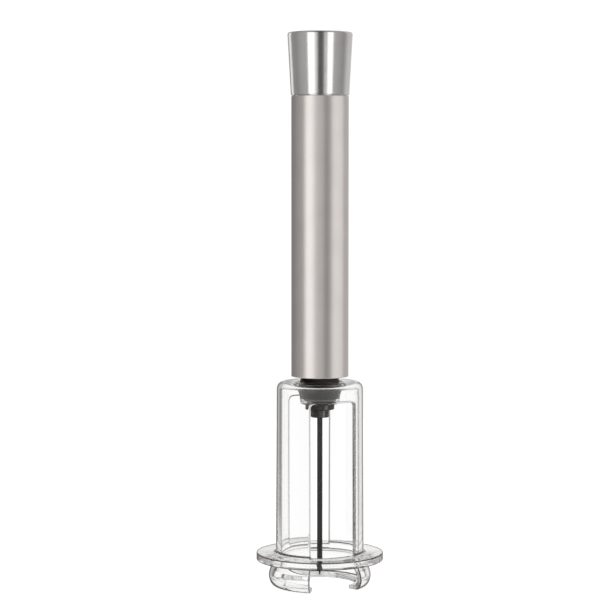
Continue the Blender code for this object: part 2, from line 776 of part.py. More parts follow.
def add_outline(curve, points):
    """A closed straight-sided loop on a flat curve."""
    spline = curve.splines.new("POLY")
    spline.points.add(len(points) - 1)
    for point, (x, y) in zip(spline.points, points):
        point.co = (x, y, 0.0, 1.0)
    spline.use_cyclic_u = True


def shade_round(collection):
    """Turns each evaluated shape into its mesh, smooth-shaded with its real edges kept sharp."""
    depsgraph = bpy.context.evaluated_depsgraph_get()
    for obj in [o for o in collection.objects if o.type in {"MESH", "CURVE"}]:
        shape = bpy.data.meshes.new_from_object(obj.evaluated_get(depsgraph), depsgraph=depsgraph)
        weld = bmesh.new()
        weld.from_mesh(shape)
        bmesh.ops.remove_doubles(weld, verts=weld.verts, dist=MERGE)
        weld.to_mesh(shape)
        weld.free()
        shape.shade_smooth()
        shape.set_sharp_from_angle(angle=SHARP_ANGLE)
        name, parent, place = obj.name, obj.parent, obj.matrix_world.copy()
        bpy.data.objects.remove(obj)
        finished = bpy.data.objects.new(name, shape)
        collection.objects.link(finished)
        finished.parent = parent
        finished.matrix_world = place


# ---- the whole opener --------------------------------------------------------------------


def build():
    guard = group("guard")
    needle_unit = group("needle_unit", guard)
    handle = group("handle", needle_unit)
    check_valve = group("check_valve", needle_unit)
    inlet_seal = group("inlet_seal", needle_unit)

    make_guard(guard)

    make_hub(needle_unit)
    make_rod(needle_unit)
    make_piston(needle_unit)
    washer_bottom = HUB_SHOULDER + GAP
    size = (WASHER_RADIUS, WASHER_BORE, washer_bottom, WASHER_THICKNESS)
    washer("rod_washer", *size, "rubber", needle_unit)
    make_seat(needle_unit)
    make_spring(needle_unit)
    make_collar(needle_unit)
    make_ferrule(needle_unit)
    make_needle(needle_unit)

    make_ball(check_valve)
    seal_radius = BARREL_BORE - SEAL_CORD - RUNNING
    seal_height = SEAL_GROOVE_BOTTOM + SEAL_CORD + SEAL_REST_GAP
    o_ring("piston_seal_ring", seal_radius, SEAL_CORD, seal_height, inlet_seal)

    make_tube(handle)
    make_cap(handle)
    make_barrel(handle)
    make_head(handle)
    make_guide(handle)
    make_circlip(handle)

    shade_round(PARTS)


build()
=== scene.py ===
"""The looks of a hand-pumped air-pressure wine opener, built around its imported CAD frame.

Everything is in metres in the frame's own axes: +Z up along the needle, -Y through the gap
of the foot ring.  The visible parts are remade here with fine meshes; the pump's inner
parts stay as the frame has them and get finished materials.
"""

import json
import math

import bmesh
import bpy
from mathutils import Matrix, Vector


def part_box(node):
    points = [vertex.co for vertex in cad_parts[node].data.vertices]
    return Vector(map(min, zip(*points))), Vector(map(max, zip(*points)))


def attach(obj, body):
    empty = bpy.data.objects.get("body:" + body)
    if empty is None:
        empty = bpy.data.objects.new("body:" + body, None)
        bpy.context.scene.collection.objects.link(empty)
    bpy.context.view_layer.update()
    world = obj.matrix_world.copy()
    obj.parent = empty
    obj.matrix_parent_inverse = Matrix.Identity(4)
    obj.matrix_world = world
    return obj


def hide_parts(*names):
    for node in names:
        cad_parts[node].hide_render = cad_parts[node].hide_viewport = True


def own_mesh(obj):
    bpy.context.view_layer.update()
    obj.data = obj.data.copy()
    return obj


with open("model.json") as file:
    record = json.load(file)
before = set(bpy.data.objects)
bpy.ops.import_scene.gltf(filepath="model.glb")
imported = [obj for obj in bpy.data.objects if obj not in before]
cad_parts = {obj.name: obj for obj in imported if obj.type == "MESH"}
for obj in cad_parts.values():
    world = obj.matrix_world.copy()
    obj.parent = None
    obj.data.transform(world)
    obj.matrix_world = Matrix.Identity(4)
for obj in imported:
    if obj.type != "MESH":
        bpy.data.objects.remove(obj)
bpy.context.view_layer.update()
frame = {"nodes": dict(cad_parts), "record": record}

MM = 0.001

# Boxes of the frame's parts that set the sizes below
GUARD_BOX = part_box("bottle_guard")
TUBE_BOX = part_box("handle_tube")
CAP_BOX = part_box("grip_cap")
HUB_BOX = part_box("needle_hub")
COLLAR_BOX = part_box("needle_collar")
NEEDLE_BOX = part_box("needle")
ROD_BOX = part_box("piston_rod")
SPRING_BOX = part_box("valve_spring")

# Clear guard
GUARD_TOP = GUARD_BOX[1][2]
GUARD_TOP_RADIUS = 18.9 * MM
GUARD_FOOT_RADIUS = 19.3 * MM
GUARD_WALL = 1.9 * MM
GUARD_PLATE = 1.8 * MM
GUARD_ROUND = 4.0 * MM
PLATE_ROUND = 0.3 * MM
SINK_RADIUS = 9.9 * MM
SINK_DEPTH = 0.6 * MM
CUP_BOTTOM = 80.05 * MM
CUP_ROOT_RADIUS = 9.75 * MM
CUP_FOOT_RADIUS = 8.3 * MM
CUP_HOLE_RADIUS = 6.65 * MM
CUP_SEAT_TOP = 80.75 * MM
CUP_CONE_RADIUS = 7.25 * MM
CUP_CONE_BOTTOM = 81.85 * MM
CUP_MOUTH_RADIUS = 8.55 * MM
FLANGE_RADIUS = GUARD_BOX[1][0]
FLANGE_TOP = 14.7 * MM
FLANGE_BOTTOM = 11.4 * MM
FLANGE_ROUND = 0.45 * MM
WINDOW_HALF = 10.1 * MM
WINDOW_TOP = 81.95 * MM
WINDOW_CORNER = 2.2 * MM
FOOT_FILLET = 1.2 * MM
FILLET_STEPS = (1.0, 0.7, 0.45, 0.25)  # shares of its height; the window's sill is the last
RING_RADIUS = 22.5 * MM
RING_TOP_RADIUS = 19.7 * MM
RING_WIDEST = 4.6 * MM
RING_FOOT_RADIUS = 19.6 * MM
RING_WALL = 2.0 * MM
RING_TAPER = 1.7
RING_STEPS = (0.84, 0.7, 0.56, 0.42, 0.28, 0.14)  # shares of the way up to the flange
RING_BEND_STEPS = 8
LIP_RADIUS = 15.7 * MM
LIP_HEIGHT = 1.8 * MM
LIP_ROUND = 0.4 * MM
RING_GAP_TOP = FLANGE_BOTTOM - 0.2 * MM
RING_GAP_HALF_ANGLE = math.radians(32.5)
FRONT_COLUMNS = 32
SIDE_COLUMNS = 40
CORNER_COLUMNS = 4

WINDOW_SILL = FLANGE_TOP + FOOT_FILLET * FILLET_STEPS[-1]

# Edges of the guard's windows: their roundings, and how much narrower they are inside
RIM_ROUND = 0.35 * MM
WINDOW_ROUND = 0.85 * MM
BACK_WINDOW_ROUND = 0.60 * MM
WINDOW_DRAFT = 0.35 * MM
WINDOW_BAND = 1.0 * MM  # clear band above a window that its rounding needs

# How much painted shade the roundings get, from 0 to 1. A rounding counts up to RIM_MARK_RADIUS.
RIM_MARK_RADIUS = 1.3 * MM
OUTLINE_RADIUS = 18.0 * MM  # further out than this is the guard's outer skin
OUTLINE_RIM = 1.0
FRONT_RIM = 0.5
INNER_RIM = 0.55
BACK_RIM = 0.85
FOOT_RIM = 0.1
DARKEST_RIM_SHADE = 0.985

# Clear plastic
CLEAR_IOR = 1.52
# Painted shade: the dark colour painted into the clear plastic at its outlines and small
# roundings
PAINTED_EDGE_SHADE = (0.008, 0.0065, 0.0065, 1.0)
PAINTED_SHADE_FROM, PAINTED_SHADE_TO = 0.70, 0.82  # Layer Weight over which the painted shade sets in, as a face turns away
LEVEL_FROM, LEVEL_TO = 0.93, 0.99  # upward normal of faces that get no painted shade
# Painted shade added on the foot's faces that look down
PAINTED_UNDERSIDE_SHADE = 0.28
FLAT_ROUGHNESS = 0.03
ABSORPTION_COLOUR = (0.60, 0.57, 0.57, 1.0)
ABSORPTION_DENSITY = 5.0
# transmission of the window sides; the rest is a grey base painted as shade
CUT_CLEARNESS = 0.84

# Handle
TUBE_BORE = 11.3 * MM
TUBE_SIDES = 160
CIRCLIP_GROOVE = (1.1 * MM, 2.2 * MM)  # from the tube's lower edge
CIRCLIP_DEPTH = 0.5 * MM
CAP_FOOT_RADIUS = 12.7 * MM
CAP_ROUND = 1.1 * MM
CAP_BOTTOM = TUBE_BOX[1][2] + 0.3 * MM
CAP_HOLLOW_RADIUS = 9.2 * MM
CAP_SPIGOT_RADIUS = 11.0 * MM
CAP_CEILING = 5.0 * MM
GROOVE_PITCH = 1.02 * MM
GROOVE_WIDTH = 0.34 * MM
GROOVE_DEPTH = 0.03 * MM

# Needle unit
HUB_TOP_RADIUS = 7.6 * MM
HUB_COLLAR_TOP = 92.3 * MM
HUB_COLLAR_RADIUS = 8.75 * MM
HUB_COLLAR_BOTTOM = 90.2 * MM
HUB_CONE_TOP_RADIUS = 8.70 * MM
HUB_CONE_TOP = 89.4 * MM
HUB_CONE_FOOT_RADIUS = 7.26 * MM
HUB_CONE_FOOT = 82.0 * MM
HUB_NECK_RADIUS = 6.35 * MM
HUB_NECK_TOP = 80.9 * MM
HUB_BORE = 3.3 * MM
HUB_BORE_TOP = 86.0 * MM
COLLAR_RADIUS = COLLAR_BOX[1][1]
COLLAR_NECK_RADIUS = 3.0 * MM
COLLAR_SHOULDER = 77.4 * MM
COLLAR_FLANGE = 0.8 * MM
COLLAR_FLAT = 3.6 * MM
COLLAR_POCKET_RADIUS = 2.35 * MM
COLLAR_POCKET_BOTTOM = 77.0 * MM
ROD_RADIUS = ROD_BOX[1][0]
ROD_ROUND = 0.25 * MM
AIR_BORE = 1.6 * MM
NEEDLE_RADIUS = NEEDLE_BOX[1][0]
NEEDLE_BORE = 0.6 * MM
NEEDLE_POINT = 3.6 * MM
PORT_RADIUS = 0.42 * MM
PORT_RISE = 1.2 * MM
SPRING_TURNS = 4
SPRING_STEPS = 24  # rings of mesh in a turn
SPRING_SIDES = 10
SPRING_WIRE = 0.2 * MM

# Camera: seen from the left of the gap, from a little above, with the axis right of centre
CAMERA_AZIMUTH = math.radians(-20.0)
CAMERA_DISTANCE = 0.890
CAMERA_HEIGHT = 0.1824
CAMERA_TILT = math.radians(3.65)
CAMERA_SIDESTEP = 0.0087
CAMERA_LENS = 122.4
SENSOR = 36.0

LIGHT_BOUNCES = 48  # light is guided a long way round the clear plastic

# Softboxes for a piece: azimuth from the camera in degrees, height, (width, height), radiance
LIGHT_DISTANCE = 0.7
LIGHTS = {
    "hub_cone": [
        (2, 0.03, (0.40, 0.5), 2.0),
        (58, 0.03, (0.40, 0.5), 11.0),
    ],
    "clamp_collar": [
        (2, 0.03, (0.50, 0.5), 2.4),
        (58, 0.03, (0.44, 0.5), 14.0),
    ],
    "hollow_needle": [
        (4, 0.03, (0.45, 0.5), 1.2),
    ],
    "handle_sleeve": [
        (-43, 0.15, (0.50, 0.9), 1.05),
        (-3, 0.15, (0.50, 0.9), 0.60),
        (76, 0.15, (0.80, 0.9), 0.68),
        (-95, 0.15, (0.40, 0.9), 0.12),
    ],
    "flared_cap": [
        (-33, 0.22, (0.32, 0.6), 1.10),
        (37, 0.22, (0.27, 0.6), 1.05),
        (-15, 0.22, (0.14, 0.6), 0.55),
        (18, 0.22, (0.12, 0.6), 0.40),
        (-137, 0.22, (0.26, 0.6), 0.65),
    ],
}

# Floor and surroundings
FLOOR_RADIUS = 0.6
FLOOR_GLOW = 0.8
WHITE = 1.03
OVERHEAD = (0.98, 0.98, 0.97, 1.0)
OVERHEAD_FROM, OVERHEAD_TO = 0.24, 0.34  # slope of the rays that see it
WALL_WARMTH = (1.0, 0.985, 0.97)

# Walls of the studio, as the metal and as the inside of the clear plastic reflect them:
# bearing from the camera in degrees, brightness
METAL_WALLS = [
    (-180, 0.50),
    (-166, 0.50),
    (-154, 0.26),
    (-122, 0.30),
    (-97, 0.28),
    (-77, 0.38),
    (-60, 0.42),
    (-30, 0.35),
    (-14, 0.12),
    (0, 0.08),
    (14, 0.12),
    (30, 0.35),
    (60, 0.42),
    (97, 0.29),
    (122, 0.58),
    (154, 0.62),
    (166, 0.66),
    (180, 0.66),
]
PLASTIC_WALLS = [
    (-180, 0.30),
    (-168, 0.45),
    (-160, 0.62),
    (-152, 0.50),
    (-146, 0.24),
    (-138, 0.24),
    (-132, 0.92),
    (-80, 0.97),
    (-45, 0.62),
    (-20, 0.42),
    (20, 0.42),
    (45, 0.62),
    (80, 0.97),
    (128, 0.97),
    (138, 0.62),
    (147, 0.88),
    (160, 0.86),
    (170, 0.50),
    (180, 0.30),
]


# ---- mesh tools --------------------------------------------------------------------------


def link(obj):
    bpy.context.scene.collection.objects.link(obj)
    return obj


def rounded(corners, closed=True, steps=5):
    """Rows of a profile, each corner (radius, height, fillet, tag) cut back to a small curve."""
    longest = 0.48  # share of a straight that one of its two corners may take
    rows = []
    count = len(corners)
    for i, (radius, height, fillet, tag) in enumerate(corners):
        at_end = not closed and i in (0, count - 1)
        if fillet == 0.0 or at_end:
            rows.append((radius, height, tag))
            continue
        here = Vector((radius, height))
        before = Vector(corners[i - 1][:2]) - here
        after = Vector(corners[(i + 1) % count][:2]) - here
        half_turn = (math.pi - before.angle(after)) / 2
        cut_back = fillet * math.tan(half_turn)
        start = here + before.normalized() * min(cut_back, longest * before.length)
        end = here + after.normalized() * min(cut_back, longest * after.length)
        for k in range(steps + 1):
            share = k / steps
            point = start * (1 - share) ** 2 + here * 2 * share * (1 - share) + end * share**2
            rows.append((point.x, point.y, tag))
    return rows


def lathe(name, rows, segments=128, closed=True):
    """A turned mesh. An open profile starts and ends on the axis."""
    mesh = bpy.data.meshes.new(name)
    shape = bmesh.new()
    rings = []
    for radius, height in [row[:2] for row in rows]:
        if radius < MM / 1000:
            rings.append([shape.verts.new((0.0, 0.0, height))])
            continue
        ring = []
        for j in range(segments):
            angle = math.tau * j / segments
            ring.append(
                shape.verts.new((radius * math.cos(angle), radius * math.sin(angle), height))
            )
        rings.append(ring)
    pairs = list(zip(rings, rings[1:]))
    if closed:
        pairs.append((rings[-1], rings[0]))
    for upper, lower in pairs:
        for j in range(segments):
            k = (j + 1) % segments
            if len(upper) == 1:
                shape.faces.new((upper[0], lower[j], lower[k]))
            elif len(lower) == 1:
                shape.faces.new((upper[j], lower[0], upper[k]))
            else:
                shape.faces.new((upper[j], lower[j], lower[k], upper[k]))
    bmesh.ops.recalc_face_normals(shape, faces=shape.faces)
    shape.to_mesh(mesh)
    shape.free()
    return link(bpy.data.objects.new(name, mesh))


def settle(obj, sharp_deg=35.0):
    """Applies an object's modifiers and shades it smooth between its real edges."""
    depsgraph = bpy.context.evaluated_depsgraph_get()
    mesh = bpy.data.meshes.new_from_object(obj.evaluated_get(depsgraph), depsgraph=depsgraph)
    obj.modifiers.clear()
    obj.data = mesh
    mesh.shade_smooth()
    mesh.set_sharp_from_angle(angle=math.radians(sharp_deg))
    return obj


def rim_strength(place):
    """How much painted shade a small rounding gets: outlines darkest, the inside of the foot
    least.
    """
    if place.xy.length > OUTLINE_RADIUS:
        beside_window = FLANGE_TOP + FOOT_FILLET < place.z < WINDOW_TOP + WINDOW_ROUND
        return FRONT_RIM if beside_window and place.y < 0 else OUTLINE_RIM
    if place.z < FLANGE_TOP:
        return FOOT_RIM
    return BACK_RIM if place.y > 0 else INNER_RIM


def mark_rims(mesh, widest):
    """Marks small roundings, up to a radius of widest, in rim, as the strength of their painted
    shade, and cut faces in cut.
    """
    shape = bmesh.new()
    shape.from_mesh(mesh)
    shape.normal_update()
    smallest = MM / 1000
    marks, cuts = [], []
    for face in shape.faces:
        outward = Vector((*face.calc_center_median().xy, 0.0)).normalized()
        on_a_skin = abs(face.normal.dot(outward)) >= 0.8  # it looks in or out, not sideways
        cuts.append(1.0 if len(face.verts) > 4 and not on_a_skin else 0.0)
        bend = 0.0
        for edge in face.edges:
            if len(edge.link_faces) == 2:
                width = face.calc_area() / max(edge.calc_length(), smallest)
                bend = max(bend, edge.calc_face_angle() / max(width, smallest))
        marks.append(rim_strength(face.calc_center_median()))
        if cuts[-1] or bend < 1.0 / widest:
            marks[-1] = 0.0
    shape.free()
    mesh.attributes.new("rim", "FLOAT", "FACE").data.foreach_set("value", marks)
    mesh.attributes.new("cut", "FLOAT", "FACE").data.foreach_set("value", cuts)


def show(piece, body, slot, finish, *nodes):
    """Gives a piece its material and its body, and hides the frame nodes it stands for. The slot
    is not used.
    """
    piece.data.materials.clear()
    piece.data.materials.append(finish)
    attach(piece, body)
    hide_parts(*nodes)


# ---- materials ---------------------------------------------------------------------------


class Nodes:
    """A node tree and short ways to add to it."""

    def __init__(self, tree):
        self.tree = tree

    def add(self, kind, **settings):
        node = self.tree.nodes.new(kind)
        for key, value in settings.items():
            setattr(node, key, value)
        return node

    def join(self, output, socket):
        self.tree.links.new(output, socket)

    def calc(self, operation, *values, clamp=False):
        """A math node of sockets and plain numbers."""
        node = self.add("ShaderNodeMath", operation=operation, use_clamp=clamp)
        for value, socket in zip(values, node.inputs):
            if isinstance(value, float):
                socket.default_value = value
            else:
                self.join(value, socket)
        return node.outputs[0]

    def blend(self, factor, first, second):
        """A mix of two colours, which are sockets or plain values."""
        node = self.add("ShaderNodeMix", data_type="RGBA")
        self.join(factor, node.inputs["Factor"])
        ends = [socket for socket in node.inputs if socket.type == "RGBA"]
        for value, socket in zip((first, second), ends):
            if isinstance(value, tuple):
                socket.default_value = value
            else:
                self.join(value, socket)
        return next(socket for socket in node.outputs if socket.type == "RGBA")

    def ease(self, value, start, end, low=0.0, high=1.0):
        """A smooth step from low at start to high at end."""
        node = self.add("ShaderNodeMapRange", interpolation_type="SMOOTHSTEP")
        node.inputs["From Min"].default_value = start
        node.inputs["From Max"].default_value = end
        node.inputs["To Min"].default_value = low
        node.inputs["To Max"].default_value = high
        self.join(value, node.inputs["Value"])
        return node.outputs["Result"]


class Surface(Nodes):
    """A node material with a Principled shader and short ways to add detail to it."""

    def __init__(self, name, **values):
        self.material = bpy.data.materials.new(name)
        self.material.use_nodes = True
        super().__init__(self.material.node_tree)
        self.shader = self.tree.nodes["Principled BSDF"]
        for socket, value in values.items():
            self.shader.inputs[socket.replace("_", " ")].default_value = value
        self.place = self.add("ShaderNodeTexCoord").outputs["Object"]

    def stretched(self, scale):
        """The object's coordinates, stretched by a scale for each axis."""
        mapping = self.add("ShaderNodeMapping")
        mapping.inputs["Scale"].default_value = scale
        self.join(self.place, mapping.inputs["Vector"])
        return mapping.outputs["Vector"]

    def noise(self, scale, detail=2.0, stretch=None):
        node = self.add("ShaderNodeTexNoise")
        node.inputs["Scale"].default_value = scale
        node.inputs["Detail"].default_value = detail
        self.join(self.stretched(stretch) if stretch else self.place, node.inputs["Vector"])
        return node.outputs["Fac"]

    def spread(self, output, low, high):
        """Maps a 0-1 value to the range low-high."""
        node = self.add("ShaderNodeMapRange")
        node.inputs["To Min"].default_value = low
        node.inputs["To Max"].default_value = high
        self.join(output, node.inputs["Value"])
        return node.outputs["Result"]

    def vary_roughness(self, output, low, high):
        self.join(self.spread(output, low, high), self.shader.inputs["Roughness"])

    def vary_colour(self, output, dark, light):
        ramp = self.add("ShaderNodeValToRGB")
        ramp.color_ramp.elements[0].color = (*dark, 1.0)
        ramp.color_ramp.elements[1].color = (*light, 1.0)
        ramp.color_ramp.elements[0].position = 0.3
        ramp.color_ramp.elements[1].position = 0.7
        self.join(output, ramp.inputs["Fac"])
        self.join(ramp.outputs["Color"], self.shader.inputs["Base Color"])

    def bumps(self, output, strength, height):
        bump = self.add("ShaderNodeBump")
        bump.inputs["Strength"].default_value = strength
        bump.inputs["Distance"].default_value = height
        self.join(output, bump.inputs["Height"])
        self.join(bump.outputs["Normal"], self.shader.inputs["Normal"])

    def upright(self, both_ways):
        """0 on level faces that look up, and down too where both_ways is 1; 1 on the others."""
        split = self.add("ShaderNodeSeparateXYZ")
        self.join(self.add("ShaderNodeNewGeometry").outputs["Normal"], split.inputs["Vector"])
        self.normal_z = split.outputs["Z"]
        length = self.calc("ABSOLUTE", self.normal_z)
        size = self.calc("MAXIMUM", self.normal_z, self.calc("MULTIPLY", length, both_ways))
        return self.ease(size, LEVEL_FROM, LEVEL_TO, 1.0, 0.0)

    def absorb(self):
        """The faint grey that the plastic takes on where it is thick."""
        absorption = self.add("ShaderNodeVolumeAbsorption")
        absorption.inputs["Color"].default_value = ABSORPTION_COLOUR
        absorption.inputs["Density"].default_value = ABSORPTION_DENSITY
        output = self.tree.nodes["Material Output"]
        self.join(absorption.outputs["Volume"], output.inputs["Volume"])

    def turned(self, anisotropy):
        """Highlights drawn out across tool marks that run round the axis."""
        tangent = self.add("ShaderNodeTangent", direction_type="RADIAL", axis="Z")
        self.shader.inputs["Anisotropic"].default_value = anisotropy
        self.join(tangent.outputs["Tangent"], self.shader.inputs["Tangent"])


def satin_aluminium():
    """Bead-blasted and anodised: an even fine grain, slightly warm."""
    surface = Surface("satin_aluminium", Metallic=1.0)
    surface.vary_colour(surface.noise(90.0, 3.0), (0.672, 0.632, 0.616), (0.708, 0.668, 0.650))
    surface.vary_roughness(surface.noise(2600.0), 0.30, 0.38)
    surface.bumps(surface.noise(7000.0, 1.0), 0.10, 0.02 * MM)
    return surface.material


def turned_aluminium():
    """Polished on the lathe: tight rings of tool marks over a bright metal."""
    surface = Surface("turned_aluminium", Metallic=1.0)
    rings = surface.noise(1.0, 3.0, stretch=(120.0, 120.0, 9000.0))
    surface.vary_colour(surface.noise(150.0), (0.80, 0.785, 0.775), (0.85, 0.84, 0.83))
    surface.vary_roughness(rings, 0.11, 0.21)
    surface.bumps(rings, 0.25, 0.006 * MM)
    surface.turned(0.45)
    return surface.material


def black_plastic():
    surface = Surface("black_plastic", IOR=1.5, Specular_IOR_Level=0.2)
    colour = surface.noise(300.0, 3.0)
    surface.vary_colour(colour, (0.022, 0.019, 0.018), (0.034, 0.030, 0.028))
    surface.vary_roughness(surface.noise(900.0), 0.24, 0.40)
    surface.bumps(surface.noise(5000.0, 2.0), 0.15, 0.02 * MM)
    return surface.material


def coated_steel():
    surface = Surface("coated_steel", IOR=1.45)
    streaks = surface.noise(1.0, 3.0, stretch=(2500.0, 2500.0, 60.0))
    surface.vary_colour(streaks, (0.020, 0.018, 0.017), (0.038, 0.034, 0.032))
    surface.vary_roughness(streaks, 0.22, 0.38)
    surface.bumps(surface.noise(6000.0), 0.1, 0.01 * MM)
    return surface.material


def clear_plastic():
    """Clear moulded plastic with painted shade: its upright faces are painted grey where they
    turn away from the eye, and its small roundings dark.
    """
    surface = Surface("clear_plastic", IOR=CLEAR_IOR)
    calc = surface.calc
    surface.shader.inputs["Transmission Weight"].default_value = 1.0
    height = surface.add("ShaderNodeSeparateXYZ")
    surface.join(surface.place, height.inputs["Vector"])
    wall = surface.add("ShaderNodeMapRange")
    wall.inputs["From Min"].default_value = FLANGE_TOP
    wall.inputs["From Max"].default_value = FLANGE_TOP + 1.0 * MM
    surface.join(height.outputs["Z"], wall.inputs["Value"])
    wall = wall.outputs["Result"]

    # Painted shade towards the outline; more of it on the foot's undersides, none on its inner
    # faces
    upright = surface.upright(wall)
    facing = surface.add("ShaderNodeLayerWeight")
    facing.inputs["Blend"].default_value = 0.5
    # Painted shade: the foot's downward faces are painted darker
    down = calc("MULTIPLY", surface.normal_z, -PAINTED_UNDERSIDE_SHADE, clamp=True)
    below = calc("SUBTRACT", down, wall, clamp=True)
    turned_away = calc("ADD", facing.outputs["Facing"], below)
    # painted grey as a face turns away from the eye
    outline = calc("MULTIPLY", surface.ease(turned_away, PAINTED_SHADE_FROM, PAINTED_SHADE_TO), upright)
    flat = surface.add("ShaderNodeAttribute", attribute_name="cut").outputs["Fac"]
    outline = calc("SUBTRACT", outline, flat, clamp=True)
    inside = surface.add("ShaderNodeNewGeometry").outputs["Backfacing"]
    seen = calc("MAXIMUM", wall, calc("SUBTRACT", 1.0, inside))
    outline = calc("MULTIPLY", outline, seen)

    # Painted dark lines on the small roundings, as strong as their rim marks
    painted_rim_shade = surface.add("ShaderNodeAttribute", attribute_name="rim").outputs["Fac"]
    drawn = calc("MAXIMUM", outline, surface.spread(painted_rim_shade, 0.0, DARKEST_RIM_SHADE))
    # The painted shade goes into the base colour, from white to the painted edge shade
    colour = surface.blend(drawn, (1.0, 1.0, 1.0, 1.0), PAINTED_EDGE_SHADE)
    surface.join(colour, surface.shader.inputs["Base Color"])

    moulded = surface.spread(surface.noise(220.0), 0.0, 0.015)
    roughness = calc("MULTIPLY_ADD", flat, FLAT_ROUGHNESS, moulded)
    surface.join(roughness, surface.shader.inputs["Roughness"])
    surface.bumps(surface.noise(70.0, 1.0), 0.05, 0.05 * MM)
    surface.absorb()
    return surface.material


def cut_plastic_painted_shade():
    """The same plastic on the sides of a window, with painted shade: a grey base and less
    transmission hold back part of the light so they read as grey lines.
    """
    surface = Surface("cut_plastic_painted_shade", IOR=CLEAR_IOR)
    surface.shader.inputs["Transmission Weight"].default_value = CUT_CLEARNESS
    surface.vary_colour(surface.noise(500.0), (0.50, 0.475, 0.475), (0.58, 0.555, 0.555))
    surface.vary_roughness(surface.noise(220.0), 0.03, 0.06)
    surface.absorb()
    return surface.material


def ground_steel():
    surface = Surface("steel", Metallic=1.0)
    rings = surface.noise(1.0, 3.0, stretch=(300.0, 300.0, 7000.0))
    surface.vary_colour(surface.noise(200.0), (0.57, 0.57, 0.58), (0.64, 0.64, 0.65))
    surface.vary_roughness(rings, 0.14, 0.26)
    surface.bumps(rings, 0.15, 0.004 * MM)
    surface.turned(0.35)
    return surface.material


def brass():
    surface = Surface("brass", Metallic=1.0)
    surface.vary_colour(surface.noise(500.0), (0.66, 0.46, 0.19), (0.75, 0.56, 0.28))
    surface.vary_roughness(surface.noise(1800.0), 0.22, 0.36)
    surface.bumps(surface.noise(5000.0), 0.1, 0.01 * MM)
    return surface.material


def rubber():
    surface = Surface("rubber", IOR=1.5)
    surface.vary_colour(surface.noise(800.0), (0.014, 0.014, 0.014), (0.026, 0.025, 0.024))
    surface.vary_roughness(surface.noise(2000.0), 0.58, 0.78)
    surface.bumps(surface.noise(6000.0, 3.0), 0.25, 0.02 * MM)
    return surface.material


def pump_plastic():
    surface = Surface("pump_plastic", IOR=1.5)
    surface.vary_colour(surface.noise(120.0), (0.76, 0.75, 0.70), (0.83, 0.82, 0.78))
    surface.vary_roughness(surface.noise(900.0), 0.30, 0.44)
    surface.bumps(surface.noise(3000.0), 0.1, 0.02 * MM)
    return surface.material


# ---- clear guard -------------------------------------------------------------------------


def wall_radius(height):
    """The outer radius of the guard's wall, which tapers to help it out of its mould."""
    share = (height - FLANGE_TOP) / (GUARD_TOP - GUARD_ROUND - FLANGE_TOP)
    return GUARD_FOOT_RADIUS + (GUARD_TOP_RADIUS - GUARD_FOOT_RADIUS) * share


